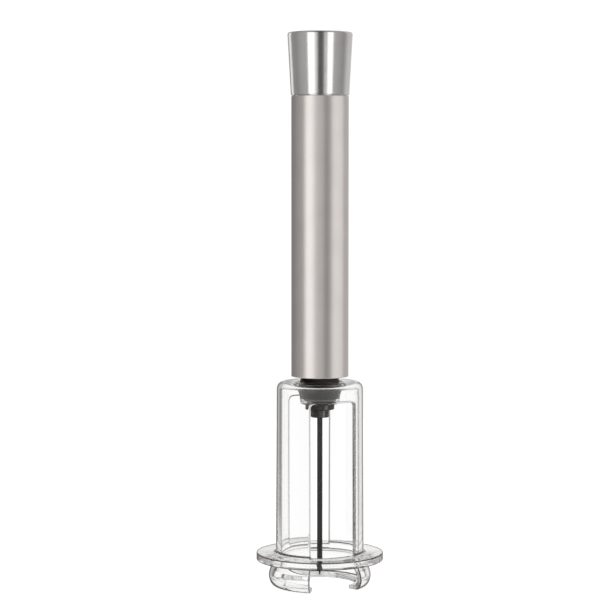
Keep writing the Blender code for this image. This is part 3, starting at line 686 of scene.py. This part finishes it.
def guard_corners():
    """The guard's section: down the outside, up the inside, and round the cup."""
    rows = [
        (SINK_RADIUS, GUARD_TOP, PLATE_ROUND, "plate"),
        (GUARD_TOP_RADIUS, GUARD_TOP, GUARD_ROUND, "plate"),
    ]
    corner = WINDOW_TOP - WINDOW_CORNER
    above = WINDOW_TOP + WINDOW_BAND
    rows += [
        (wall_radius(above), above, 0.0, "wall"),
        (wall_radius(WINDOW_TOP), WINDOW_TOP, 0.0, "top_out"),
        (wall_radius(corner), corner, 0.0, "corner_out"),
    ]
    for share in FILLET_STEPS:
        rise = FOOT_FILLET * share
        height = FLANGE_TOP + rise
        spread = FOOT_FILLET - math.sqrt(FOOT_FILLET**2 - (FOOT_FILLET - rise) ** 2)
        tag = "bottom_out" if share == FILLET_STEPS[-1] else "wall"
        rows.append((wall_radius(height) + spread, height, 0.0, tag))
    rows += [
        (GUARD_FOOT_RADIUS + 0.75 * FOOT_FILLET, FLANGE_TOP + 0.06 * MM, 0.0, "flange"),
        (GUARD_FOOT_RADIUS + 1.2 * FOOT_FILLET, FLANGE_TOP, 0.0, "flange"),
        (FLANGE_RADIUS, FLANGE_TOP, FLANGE_ROUND, "flange"),
        (FLANGE_RADIUS, FLANGE_BOTTOM, FLANGE_ROUND, "flange"),
        (ring_flare(1.0), FLANGE_BOTTOM, 0.0, "flange"),
        (ring_flare(0.97), RING_GAP_TOP, 0.0, "gap_out"),
    ]
    rise = FLANGE_BOTTOM - RING_WIDEST
    for share in RING_STEPS:
        rows.append((ring_flare(share), RING_WIDEST + rise * share, 0.0, "ring"))
    for i in range(RING_BEND_STEPS + 1):
        angle = math.pi / 2 * i / RING_BEND_STEPS
        bend = RING_RADIUS - RING_FOOT_RADIUS
        radius = RING_FOOT_RADIUS + bend * math.cos(angle)
        rows.append((radius, RING_WIDEST - RING_WIDEST * math.sin(angle), 0.0, "ring"))
    hollow = RING_RADIUS - RING_WALL
    bore = GUARD_FOOT_RADIUS - GUARD_WALL
    rows += [
        (LIP_RADIUS, 0.0, LIP_ROUND, "ring"),
        (LIP_RADIUS, LIP_HEIGHT, LIP_ROUND, "ring"),
        (hollow - 1.2 * MM, LIP_HEIGHT + 0.2 * MM, 0.8 * MM, "ring"),
        (hollow, RING_WIDEST, 2.0 * MM, "ring"),
        (hollow - 0.8 * MM, RING_WIDEST + 2.4 * MM, 2.0 * MM, "ring"),
        (bore, FLANGE_BOTTOM - 0.6 * MM, 0.0, "ring"),
        (bore, RING_GAP_TOP, 0.0, "gap_in"),
        (wall_radius(WINDOW_SILL) - GUARD_WALL, WINDOW_SILL, 0.0, "bottom_in"),
        (wall_radius(corner) - GUARD_WALL, corner, 0.0, "corner_in"),
        (wall_radius(WINDOW_TOP) - GUARD_WALL, WINDOW_TOP, 0.0, "top_in"),
        (wall_radius(above) - GUARD_WALL, above, 0.0, "wall_in"),
    ]
    underside = GUARD_TOP - GUARD_PLATE
    rows += [
        (GUARD_TOP_RADIUS - GUARD_WALL, underside, GUARD_ROUND - GUARD_WALL, "plate"),
        (CUP_ROOT_RADIUS, underside, 1.1 * MM, "plate"),
        (CUP_FOOT_RADIUS, CUP_BOTTOM, 0.9 * MM, "plate"),
        (CUP_HOLE_RADIUS, CUP_BOTTOM, 0.12 * MM, "plate"),
        (CUP_HOLE_RADIUS, CUP_SEAT_TOP, 0.1 * MM, "plate"),
        (CUP_CONE_RADIUS, CUP_CONE_BOTTOM, 0.1 * MM, "plate"),
        (CUP_MOUTH_RADIUS, GUARD_TOP - SINK_DEPTH, 0.2 * MM, "plate"),
    ]
    return rows


def ring_flare(share):
    """The foot ring's outer radius, from its widest at share 0 up to the flange at 1."""
    return RING_RADIUS - (RING_RADIUS - RING_TOP_RADIUS) * share**RING_TAPER


def window_edge(radius, tag):
    """Half the angle of the front and back sectors of the mesh, in a row."""
    if tag in ("ring", "gap_out", "gap_in"):
        return RING_GAP_HALF_ANGLE
    if tag.endswith("_in"):
        return math.asin((WINDOW_HALF - WINDOW_DRAFT) / radius)
    if tag.endswith("_out") or tag == "wall":
        return math.asin(WINDOW_HALF / radius)
    return math.asin(WINDOW_HALF / GUARD_FOOT_RADIUS)


def column_angles(edge):
    """Angles of a row's points: front sector, right side, back sector, left side."""
    sectors = [
        (-edge, edge, FRONT_COLUMNS),
        (edge, math.pi - edge, SIDE_COLUMNS),
        (math.pi - edge, math.pi + edge, FRONT_COLUMNS),
        (math.pi + edge, math.tau - edge, SIDE_COLUMNS),
    ]
    angles = []
    for start, end, count in sectors:
        angles += [start + (end - start) * i / count for i in range(count)]
    return [angle - math.pi / 2 for angle in angles]


class GuardMesh:
    """The guard as a grid of rows and columns, with its windows and gap taken out of it."""

    def __init__(self):
        self.rows = rounded(guard_corners())
        self.row_of = {row[2]: i for i, row in enumerate(self.rows)}
        self.shape = bmesh.new()
        self.grid = [self.ring(*row) for row in self.rows]
        self.columns = len(self.grid[0])
        self.rims = []

    def ring(self, radius, height, tag):
        return [
            self.shape.verts.new((radius * math.cos(a), radius * math.sin(a), height))
            for a in column_angles(window_edge(radius, tag))
        ]

    def vert(self, row, column):
        return self.grid[row][column % self.columns]

    def window_columns(self, first):
        return range(first, first + FRONT_COLUMNS)

    def is_open(self, row, column):
        """Whether the cell under a row belongs to a window or to the ring's gap."""
        in_front = column in self.window_columns(0)
        in_back = column in self.window_columns(FRONT_COLUMNS + SIDE_COLUMNS)
        outer = self.row_of["top_out"] <= row < self.row_of["bottom_out"]
        inner = self.row_of["bottom_in"] <= row < self.row_of["top_in"]
        in_ring = self.row_of["gap_out"] <= row < self.row_of["gap_in"]
        return (in_front and (outer or inner or in_ring)) or (in_back and (outer or inner))

    def walls(self):
        for row in range(len(self.rows)):
            below = (row + 1) % len(self.rows)
            for column in range(self.columns):
                if not self.is_open(row, column):
                    self.shape.faces.new(
                        (
                            self.vert(row, column),
                            self.vert(below, column),
                            self.vert(below, column + 1),
                            self.vert(row, column + 1),
                        )
                    )

    def corner_arc(self, side, tip, first):
        """Points of a window's rounded corner on one skin, from the top edge to its side."""
        top = self.vert(self.row_of["top_" + side], first)
        foot = self.vert(self.row_of["corner_" + side], tip)
        centre = Vector((top.co.x, top.co.y, foot.co.z))
        across, up = foot.co - centre, top.co - centre
        steps = 7
        points = [top]
        for i in range(1, steps):
            angle = math.pi / 2 * i / steps
            place = centre + across * math.sin(angle) + up * math.cos(angle)
            reach = self.skin_radius(side, place.z) / math.hypot(place.x, place.y)
            points.append(self.shape.verts.new((place.x * reach, place.y * reach, place.z)))
        return points + [foot]

    def skin_radius(self, side, height):
        return wall_radius(height) - (GUARD_WALL if side == "in" else 0.0)

    def window(self, start):
        """Closes the edges of the window whose first column is start."""
        end = start + FRONT_COLUMNS
        side_round, inner_round = BACK_WINDOW_ROUND, BACK_WINDOW_ROUND
        if start == 0:
            side_round, inner_round = WINDOW_ROUND, RIM_ROUND
        loops = []
        for side in ("out", "in"):
            top, bottom = self.row_of["top_" + side], self.row_of["bottom_" + side]
            corner = self.row_of["corner_" + side]
            left = self.corner_arc(side, start, start + CORNER_COLUMNS)
            right = self.corner_arc(side, end, end - CORNER_COLUMNS)
            inner_left = [self.vert(top, c) for c in range(start, start + CORNER_COLUMNS)]
            inner_right = [self.vert(top, c) for c in range(end, end - CORNER_COLUMNS, -1)]
            step = 1 if bottom > corner else -1
            self.corner_face(inner_left + left, top, corner, start - 1, 1, step)
            self.corner_face(inner_right + right, top, corner, end, -1, step)
            down = range(corner, bottom + step, step)
            first = start + CORNER_COLUMNS
            top_run = [self.vert(top, c) for c in range(first, end - CORNER_COLUMNS + 1)]
            sill = [self.vert(bottom, c) for c in range(start, end + 1)]
            sides = [[self.vert(r, c) for r in down] for c in (start, end)]
            loops.append((top_run, left, right, sill, sides))
        outside, inside = loops
        for k in range(4):
            self.strip(outside[k], inside[k], RIM_ROUND if k == 3 else side_round)
        for outer_side, inner_side in zip(outside[4], inside[4]):
            self.shape.faces.new(outer_side + list(reversed(inner_side)))
            self.rims += [(outer_side, side_round), (inner_side, inner_round)]

    def corner_face(self, boundary, top, corner, beside, step, down):
        """Joins a window's corner with the cells round it, so that its edge can be rounded."""
        faces = [self.shape.faces.new(boundary)]
        columns = [beside + step * i for i in range(CORNER_COLUMNS + 1)]
        cells = [(top - down, column) for column in columns]
        cells += [(row, beside) for row in range(top, corner, down)]
        for row, column in cells:
            faces.append(self.cell(min(row, row + down), column))
        bmesh.ops.dissolve_faces(self.shape, faces=faces, use_verts=False)

    def cell(self, row, column):
        corners = {
            self.vert(row, column),
            self.vert(row + 1, column),
            self.vert(row + 1, column + 1),
            self.vert(row, column + 1),
        }
        return next(f for f in self.vert(row, column).link_faces if set(f.verts) == corners)

    def strip(self, outer, inner, outer_round):
        for i in range(len(outer) - 1):
            self.shape.faces.new((outer[i], outer[i + 1], inner[i + 1], inner[i]))
        self.rims += [(outer, outer_round), (inner, RIM_ROUND)]

    def ring_gap(self):
        top_out, top_in = self.row_of["gap_out"], self.row_of["gap_in"]
        ends = (0, FRONT_COLUMNS)
        ceiling = [[self.vert(row, c) for c in range(ends[1] + 1)] for row in (top_out, top_in)]
        for i in range(FRONT_COLUMNS):
            outer, inner = ceiling
            self.shape.faces.new((outer[i], outer[i + 1], inner[i + 1], inner[i]))
        for column in ends:
            section = [self.vert(row, column) for row in range(top_out, top_in + 1)]
            self.shape.faces.new(section)
            self.rims.append((section, RIM_ROUND))

    def build(self):
        self.walls()
        self.window(0)
        self.window(FRONT_COLUMNS + SIDE_COLUMNS)
        self.ring_gap()
        weight = self.shape.edges.layers.float.new("bevel_weight_edge")
        for run, radius in self.rims:
            for a, b in zip(run, run[1:]):
                edge = self.shape.edges.get((a, b))
                if edge:
                    edge[weight] = radius / WINDOW_ROUND
        bmesh.ops.recalc_face_normals(self.shape, faces=self.shape.faces)
        mesh = bpy.data.meshes.new("clear_guard")
        self.shape.to_mesh(mesh)
        self.shape.free()
        return link(bpy.data.objects.new("clear_guard", mesh))


def make_guard(finish, cut_finish):
    guard = GuardMesh().build()
    bevel = guard.modifiers.new("Rounded rims", "BEVEL")
    bevel.limit_method = "WEIGHT"
    bevel.width = WINDOW_ROUND
    bevel.segments = 4
    bevel.use_clamp_overlap = False
    bevel.harden_normals = True
    settle(guard)
    mark_rims(guard.data, RIM_MARK_RADIUS)
    show(guard, "guard", "clear_plastic", finish, "bottle_guard")
    # The sides of the windows get the plastic with painted grey shade
    guard.data.materials.append(cut_finish)
    cuts = guard.data.attributes["cut"].data
    for face in guard.data.polygons:
        if cuts[face.index].value and face.center.z > FLANGE_TOP:
            face.material_index = 1


# ---- handle ------------------------------------------------------------------------------


def make_tube(finish):
    outer = TUBE_BOX[1][0]
    bottom, top = TUBE_BOX[0][2], TUBE_BOX[1][2]
    groove_low, groove_high = (bottom + height for height in CIRCLIP_GROOVE)
    groove = TUBE_BORE + CIRCLIP_DEPTH
    corners = [
        (outer, top, 0.25 * MM, ""),
        (outer, bottom, 0.35 * MM, ""),
        (TUBE_BORE, bottom, 0.25 * MM, ""),
        (TUBE_BORE, groove_low, 0.0, ""),
        (groove, groove_low, 0.0, ""),
        (groove, groove_high, 0.0, ""),
        (TUBE_BORE, groove_high, 0.0, ""),
        (TUBE_BORE, top, 0.1 * MM, ""),
    ]
    tube = settle(lathe("handle_sleeve", rounded(corners), TUBE_SIDES))
    show(tube, "handle", "satin_aluminium", finish, "handle_tube")


def make_cap(finish):
    """The flared cap, ringed with fine turned grooves from foot to rim."""
    top_radius, top = CAP_BOX[1][0], CAP_BOX[1][2]
    spigot_bottom = CAP_BOX[0][2]
    flare_top = top - CAP_ROUND
    slope = (top_radius - CAP_FOOT_RADIUS) / (flare_top - CAP_BOTTOM)

    def flare(height):
        return CAP_FOOT_RADIUS + slope * (height - CAP_BOTTOM)

    corners = [
        (0.0, top, 0.0, ""),
        (top_radius - 2.2 * MM, top, 0.0, ""),
        (top_radius, top, CAP_ROUND, ""),
    ]
    count = int((flare_top - CAP_BOTTOM - 1.6 * MM) / GROOVE_PITCH)
    half = GROOVE_WIDTH / 2
    for i in range(count):
        middle = flare_top - 1.0 * MM - GROOVE_PITCH * i
        corners += [
            (flare(middle + half), middle + half, 0.04 * MM, ""),
            (flare(middle) - GROOVE_DEPTH, middle, 0.05 * MM, ""),
            (flare(middle - half), middle - half, 0.04 * MM, ""),
        ]
    corners += [
        (CAP_FOOT_RADIUS, CAP_BOTTOM, 0.3 * MM, ""),
        (CAP_SPIGOT_RADIUS, CAP_BOTTOM, 0.0, ""),
        (CAP_SPIGOT_RADIUS, spigot_bottom, 0.3 * MM, ""),
        (CAP_HOLLOW_RADIUS, spigot_bottom, 0.3 * MM, ""),
        (CAP_HOLLOW_RADIUS, top - CAP_CEILING, 0.5 * MM, ""),
        (0.0, top - CAP_CEILING, 0.0, ""),
    ]
    rows = rounded(corners, closed=False, steps=3)
    cap = settle(lathe("flared_cap", rows, TUBE_SIDES, closed=False), sharp_deg=50.0)
    show(cap, "handle", "turned_aluminium", finish, "grip_cap")


# ---- needle unit -------------------------------------------------------------------------


def make_hub(finish):
    top, bottom = HUB_BOX[1][2], HUB_BOX[0][2]
    socket = ROD_RADIUS + 0.1 * MM
    corners = [
        (HUB_TOP_RADIUS, top, 0.3 * MM, ""),
        (HUB_TOP_RADIUS, HUB_COLLAR_TOP, 0.4 * MM, ""),
        (HUB_COLLAR_RADIUS, HUB_COLLAR_BOTTOM, 0.2 * MM, ""),
        (HUB_CONE_TOP_RADIUS, HUB_CONE_TOP, 0.2 * MM, ""),
        (HUB_CONE_FOOT_RADIUS, HUB_CONE_FOOT, 0.3 * MM, ""),
        (HUB_NECK_RADIUS, HUB_NECK_TOP, 0.2 * MM, ""),
        (HUB_NECK_RADIUS, bottom, 0.3 * MM, ""),
        (HUB_BORE, bottom, 0.15 * MM, ""),
        (HUB_BORE, HUB_BORE_TOP, 0.0, ""),
        (socket, HUB_BORE_TOP, 0.0, ""),
        (socket, top, 0.2 * MM, ""),
    ]
    hub = settle(lathe("hub_cone", rounded(corners)))
    show(hub, "needle_unit", "black_plastic", finish, "needle_hub")


def make_collar(finish):
    """The collar that clamps the needle, with two spanner flats."""
    bottom, top = COLLAR_BOX[0][2], COLLAR_BOX[1][2]
    bore = NEEDLE_RADIUS + 0.25 * MM
    flats_top = COLLAR_SHOULDER - COLLAR_FLANGE
    step = 0.01 * MM  # the two rows between which the flats end
    corners = [
        (COLLAR_NECK_RADIUS, top, 0.2 * MM, ""),
        (COLLAR_NECK_RADIUS, COLLAR_SHOULDER, 0.0, ""),
        (COLLAR_RADIUS, COLLAR_SHOULDER, 0.15 * MM, ""),
        (COLLAR_RADIUS, flats_top, 0.0, ""),
        (COLLAR_RADIUS, flats_top - step, 0.0, ""),
        (COLLAR_RADIUS, bottom, 0.4 * MM, ""),
        (bore, bottom, 0.15 * MM, ""),
        (bore, COLLAR_POCKET_BOTTOM, 0.0, ""),
        (COLLAR_POCKET_RADIUS, COLLAR_POCKET_BOTTOM, 0.0, ""),
        (COLLAR_POCKET_RADIUS, top, 0.0, ""),
    ]
    collar = lathe("clamp_collar", rounded(corners), 96)
    for vertex in collar.data.vertices:
        if vertex.co.z < flats_top - step / 2 and abs(vertex.co.x) > COLLAR_FLAT:
            vertex.co.x = math.copysign(COLLAR_FLAT, vertex.co.x)
    settle(collar)
    show(collar, "needle_unit", "black_plastic", finish, "needle_collar")


def make_needle(finish):
    tip, top = NEEDLE_BOX[0][2], NEEDLE_BOX[1][2]
    port = tip + NEEDLE_POINT + PORT_RISE
    corners = [
        (0.0, tip, 0.0, ""),
        (0.12 * MM, tip + 0.08 * MM, 0.0, ""),
        (NEEDLE_RADIUS, tip + NEEDLE_POINT, 1.2 * MM, ""),
        (NEEDLE_RADIUS, top, 0.12 * MM, ""),
        (NEEDLE_BORE, top, 0.08 * MM, ""),
        (NEEDLE_BORE, port - 0.6 * MM, 0.0, ""),
        (0.0, port - 1.0 * MM, 0.0, ""),
    ]
    needle = lathe("hollow_needle", rounded(corners, closed=False), 48, closed=False)
    mesh = bpy.data.meshes.new("port")
    shape = bmesh.new()
    bmesh.ops.create_cone(
        shape, cap_ends=True, segments=24, radius1=PORT_RADIUS, radius2=PORT_RADIUS, depth=6 * MM
    )
    shape.to_mesh(mesh)
    shape.free()
    drill = link(bpy.data.objects.new("port", mesh))
    drill.matrix_world = Matrix.Translation((0, 0, port)) @ Matrix.Rotation(math.pi / 2, 4, "Y")
    hole = needle.modifiers.new("Port", "BOOLEAN")
    hole.operation = "DIFFERENCE"
    hole.object = drill
    settle(needle)
    bpy.data.objects.remove(drill)
    show(needle, "needle_unit", "coated_steel", finish, "needle")


def make_rod(finish):
    low, high = ROD_BOX[0][2], ROD_BOX[1][2]
    corners = [
        (ROD_RADIUS, high, ROD_ROUND, ""),
        (ROD_RADIUS, low, ROD_ROUND, ""),
        (AIR_BORE, low, 0.1 * MM, ""),
        (AIR_BORE, high, 0.1 * MM, ""),
    ]
    rod = settle(lathe("pump_rod", rounded(corners), 96))
    show(rod, "needle_unit", "steel", finish, "piston_rod")


def make_spring(finish):
    """The check valve's spring, as a fixed coil; the real spring shortens when the ball is
    pushed off its seat.
    """
    low, high = SPRING_BOX[0][2], SPRING_BOX[1][2]
    radius = SPRING_BOX[1][0] - SPRING_WIRE
    count = SPRING_TURNS * SPRING_STEPS
    shape = bmesh.new()
    rings = []
    for i in range(count + 1):
        angle = math.tau * SPRING_TURNS * i / count
        height = low + SPRING_WIRE + (high - low - 2 * SPRING_WIRE) * i / count
        ring = []
        for j in range(SPRING_SIDES):
            turn = math.tau * j / SPRING_SIDES
            reach = radius + SPRING_WIRE * math.cos(turn)
            level = height + SPRING_WIRE * math.sin(turn)
            ring.append(
                shape.verts.new((reach * math.cos(angle), reach * math.sin(angle), level))
            )
        rings.append(ring)
    for upper, lower in zip(rings, rings[1:]):
        for j in range(SPRING_SIDES):
            k = (j + 1) % SPRING_SIDES
            shape.faces.new((upper[j], upper[k], lower[k], lower[j]))
    shape.faces.new(rings[0])
    shape.faces.new(list(reversed(rings[-1])))
    bmesh.ops.recalc_face_normals(shape, faces=shape.faces)
    mesh = bpy.data.meshes.new("valve_coil")
    shape.to_mesh(mesh)
    shape.free()
    spring = settle(link(bpy.data.objects.new("valve_coil", mesh)))
    show(spring, "needle_unit", "steel", finish, "valve_spring")
    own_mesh(spring)


def finish_inner_parts(finishes):
    """The frame's own parts that stay, with finished materials on them."""
    slots = {entry["node"]: entry["material_slot"] for entry in frame["record"]["subparts"]}
    remade = {
        "bottle_guard",
        "handle_tube",
        "grip_cap",
        "needle_hub",
        "needle_collar",
        "needle",
        "piston_rod",
        "valve_spring",
    }
    for node, obj in frame["nodes"].items():
        if node not in remade:
            obj.material_slots[0].material = finishes[slots[node]]


# ---- studio ------------------------------------------------------------------------------


def aim(obj, target):
    obj.rotation_euler = (Vector(target) - obj.location).to_track_quat("-Z", "Y").to_euler()


def around(azimuth_deg, distance, height):
    """A place round the axis; azimuth counts to the right from the camera's direction."""
    angle = CAMERA_AZIMUTH + math.radians(azimuth_deg)
    return (distance * math.sin(angle), -distance * math.cos(angle), height)


def softbox(name, azimuth_deg, distance, height, size, power, lit):
    data = bpy.data.lights.new(name, "AREA")
    data.shape = "RECTANGLE"
    data.size, data.size_y = size
    data.energy = power
    light = link(bpy.data.objects.new(name, data))
    light.location = around(azimuth_deg, distance, height)
    aim(light, (0.0, 0.0, height))
    light.light_linking.receiver_collection = lit


def seen_plainly(nodes, path):
    """1 for what is seen directly, or through clear plastic without a reflection."""
    bounces = nodes.calc("ADD", path.outputs["Diffuse Depth"], path.outputs["Glossy Depth"])
    unbounced = nodes.calc("LESS_THAN", bounces, 0.5)
    inside = nodes.calc("GREATER_THAN", path.outputs["Transmission Depth"], 0.5)
    through = nodes.calc("MULTIPLY", inside, unbounced)
    return nodes.calc("MAXIMUM", path.outputs["Is Camera Ray"], through)


def walls_of(nodes, bearing, levels):
    """Walls round the object from a table of bearings and brightnesses."""
    ramp = nodes.add("ShaderNodeValToRGB")
    nodes.join(bearing, ramp.inputs["Fac"])
    elements = ramp.color_ramp.elements
    while len(elements) < len(levels):
        elements.new(0.5)
    for element, (degrees, value) in zip(elements, levels):
        element.position = (degrees + 180) / 360
        element.color = (*(value * part for part in WALL_WARMTH), 1.0)
    return ramp.outputs["Color"]


def make_floor():
    """A wide pale floor that fades into the white of the studio."""
    mesh = bpy.data.meshes.new("floor")
    shape = bmesh.new()
    bmesh.ops.create_circle(shape, cap_ends=True, segments=96, radius=FLOOR_RADIUS)
    shape.to_mesh(mesh)
    shape.free()
    floor = link(bpy.data.objects.new("floor", mesh))
    surface = Surface("floor_paper", Base_Color=(0.9, 0.9, 0.9, 1), Roughness=0.9)
    surface.shader.inputs["Emission Color"].default_value = (1, 1, 1, 1)
    surface.shader.inputs["Emission Strength"].default_value = FLOOR_GLOW
    mesh.materials.append(surface.material)
    floor.visible_glossy = False
    floor.visible_transmission = False


def make_world():
    """White to look at and to look through; a studio of paler and darker walls to reflect."""
    world = bpy.data.worlds.new("studio")
    bpy.context.scene.world = world
    world.use_nodes = True
    world.node_tree.nodes.clear()
    nodes = Nodes(world.node_tree)
    calc = nodes.calc

    # Bearing from the camera, from 0 to 1 round the object
    split = nodes.add("ShaderNodeSeparateXYZ")
    nodes.join(nodes.add("ShaderNodeTexCoord").outputs["Generated"], split.inputs["Vector"])
    bearing = calc("ARCTAN2", split.outputs["X"], calc("MULTIPLY", split.outputs["Y"], -1.0))
    turned = calc("SUBTRACT", bearing, CAMERA_AZIMUTH - math.pi)
    bearing = calc("FRACT", calc("DIVIDE", turned, math.tau))

    slope = calc("ABSOLUTE", split.outputs["Z"])
    overhead = nodes.ease(slope, OVERHEAD_FROM, OVERHEAD_TO)
    plastic_sees = nodes.blend(overhead, walls_of(nodes, bearing, PLASTIC_WALLS), OVERHEAD)
    path = nodes.add("ShaderNodeLightPath")
    inside = calc("GREATER_THAN", path.outputs["Transmission Depth"], 0.5)
    reflected = nodes.blend(inside, walls_of(nodes, bearing, METAL_WALLS), plastic_sees)

    studio = nodes.add("ShaderNodeBackground")
    nodes.join(reflected, studio.inputs["Color"])
    white = nodes.add("ShaderNodeBackground")
    white.inputs["Color"].default_value = (1, 1, 1, 1)
    white.inputs["Strength"].default_value = WHITE
    mix = nodes.add("ShaderNodeMixShader")
    nodes.join(seen_plainly(nodes, path), mix.inputs["Fac"])
    nodes.join(studio.outputs[0], mix.inputs[1])
    nodes.join(white.outputs[0], mix.inputs[2])
    output = nodes.add("ShaderNodeOutputWorld")
    nodes.join(mix.outputs[0], output.inputs["Surface"])


def make_lights():
    """Softboxes that each light a single piece."""
    for target, boxes in LIGHTS.items():
        lit = bpy.data.collections.new("lit_" + target)
        lit.objects.link(bpy.data.objects[target])
        for i, (azimuth, height, size, radiance) in enumerate(boxes):
            power = radiance * math.pi * size[0] * size[1]
            softbox(f"{target}_{i}", azimuth, LIGHT_DISTANCE, height, size, power, lit)


def make_camera():
    data = bpy.data.cameras.new("camera")
    data.lens = CAMERA_LENS
    data.sensor_width = SENSOR
    camera = link(bpy.data.objects.new("camera", data))
    place = Vector(around(0.0, CAMERA_DISTANCE, CAMERA_HEIGHT))
    right = Vector((math.cos(CAMERA_AZIMUTH), math.sin(CAMERA_AZIMUTH), 0.0))
    camera.location = place - right * CAMERA_SIDESTEP
    camera.rotation_euler = (math.pi / 2 - CAMERA_TILT, 0.0, CAMERA_AZIMUTH)
    bpy.context.scene.camera = camera


def make_object():
    finishes = {
        "satin_aluminium": satin_aluminium(),
        "turned_aluminium": turned_aluminium(),
        "black_plastic": black_plastic(),
        "coated_steel": coated_steel(),
        "clear_plastic": clear_plastic(),
        "steel": ground_steel(),
        "brass": brass(),
        "rubber": rubber(),
        "pump_plastic": pump_plastic(),
    }
    make_guard(finishes["clear_plastic"], cut_plastic_painted_shade())
    make_tube(finishes["satin_aluminium"])
    make_cap(finishes["turned_aluminium"])
    make_hub(finishes["black_plastic"])
    make_collar(finishes["black_plastic"])
    make_needle(finishes["coated_steel"])
    make_rod(finishes["steel"])
    make_spring(finishes["steel"])
    finish_inner_parts(finishes)


make_camera()
make_object()
make_world()
make_floor()
make_lights()
scene = bpy.context.scene
scene.view_settings.view_transform = "Standard"
for limit in ("max_bounces", "transmission_bounces", "glossy_bounces"):
    setattr(scene.cycles, limit, LIGHT_BOUNCES)
